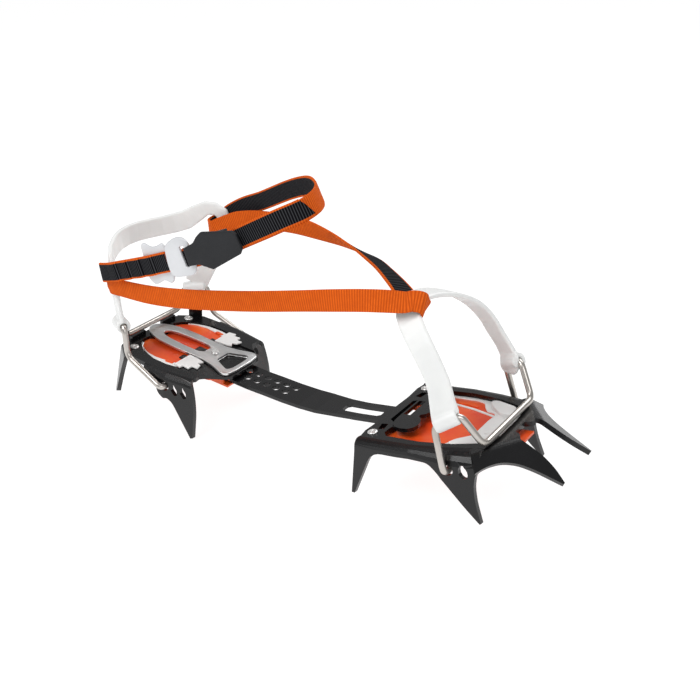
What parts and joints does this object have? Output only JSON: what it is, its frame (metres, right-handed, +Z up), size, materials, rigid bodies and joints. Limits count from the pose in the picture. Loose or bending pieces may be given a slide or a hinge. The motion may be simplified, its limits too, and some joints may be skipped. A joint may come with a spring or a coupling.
{
  "type": "crampon",
  "caption": "Step-in crampon: bent steel front and heel frames on a perforated linking bar, wire bails with flexible harnesses, and an ankle strap with its buckle.",
  "frame": {"origin": "middle of the bounding box in plan, on the ground that the points stand on", "axes": "+X towards the toe, +Y towards the side away from the buckle, +Z up"},
  "size_m": [0.3306, 0.1036, 0.1792],
  "materials": {
    "black_steel": "satin black coating over bent steel sheet",
    "bail_wire": "satin stainless wire",
    "lever_steel": "satin stainless sheet",
    "rivet_steel": "bright pressed rivet",
    "white_plastic": "semi-gloss moulded",
    "orange_plastic": "semi-gloss moulded membrane",
    "elastomer": "translucent white flexible elastomer",
    "webbing_orange": "woven ribbed webbing",
    "webbing_black": "woven ribbed webbing",
    "buckle_alloy": "satin light alloy",
    "keeper_rubber": "matte moulded rubber"
  },
  "bodies": {
    "front_section": {"front_frame": "black_steel", "front_antiball_plate": "white_plastic", "front_antiball_bowl": "orange_plastic", "front_rivet_near": "rivet_steel", "front_rivet_far": "rivet_steel", "linking_bar": "black_steel", "strap_near": "webbing_orange", "strap_far": "webbing_orange"},
    "toe_binding": {"toe_bail": "bail_wire", "toe_harness": "elastomer", "strap_toe_turn": "webbing_orange"},
    "heel_section": {"heel_frame": "black_steel", "heel_rivet_near": "rivet_steel", "heel_rivet_far": "rivet_steel", "heel_antiball_plate": "white_plastic", "heel_antiball_membrane": "orange_plastic", "lever_rivet": "rivet_steel"},
    "adjuster_lever": {"adjuster_lever": "lever_steel", "lever_peg": "rivet_steel"},
    "heel_binding": {"heel_bail": "bail_wire", "heel_harness": "elastomer", "strap_heel_turn": "webbing_orange", "strap_post_turn": "webbing_orange", "strap_fixed": "webbing_black", "strap_ankle": "webbing_orange", "strap_tail": "webbing_black", "buckle_plate": "buckle_alloy"},
    "buckle_slider": {"buckle_slider": "buckle_alloy"},
    "strap_keeper": {"strap_keeper": "keeper_rubber"}
  },
  "joints": [
    {"name": "toe_bail_hinge", "type": "hinge", "parent": "front_section", "child": "toe_binding", "pos_m": [0.10645, 0.00376, 0.03637], "axis": [0, 1, 0], "range_deg": [-25, 0], "deforming": ["strap_near", "strap_far"]},
    {"name": "heel_slide", "type": "slide", "parent": "front_section", "child": "heel_section", "axis": [0.9918, 0, -0.1279], "range_m": [-0.0077, 0.0231], "deforming": ["strap_near", "strap_far"]},
    {"name": "lever_lift", "type": "hinge", "parent": "heel_section", "child": "adjuster_lever", "pos_m": [-0.14486, 0.00376, 0.04961], "axis": [0, 1, 0], "range_deg": [-10, 0], "stiffness_Nm_per_rad": 1.2, "deforming": ["adjuster_lever"]},
    {"name": "heel_bail_hinge", "type": "hinge", "parent": "heel_section", "child": "heel_binding", "pos_m": [-0.10485, 0.00376, 0.03457], "axis": [0, 1, 0], "range_deg": [0, 10], "deforming": ["strap_near", "strap_far"]},
    {"name": "slider_tilt", "type": "hinge", "parent": "heel_binding", "child": "buckle_slider", "pos_m": [-0.07702, -0.04454, 0.12489], "axis": [-0.276, 0, 0.9611], "range_deg": [-16, 0]},
    {"name": "keeper_slide", "type": "slide", "parent": "heel_binding", "child": "strap_keeper", "axis": [0.9028, -0.0061, 0.4299], "range_m": [0, 0.004]}
  ]
}
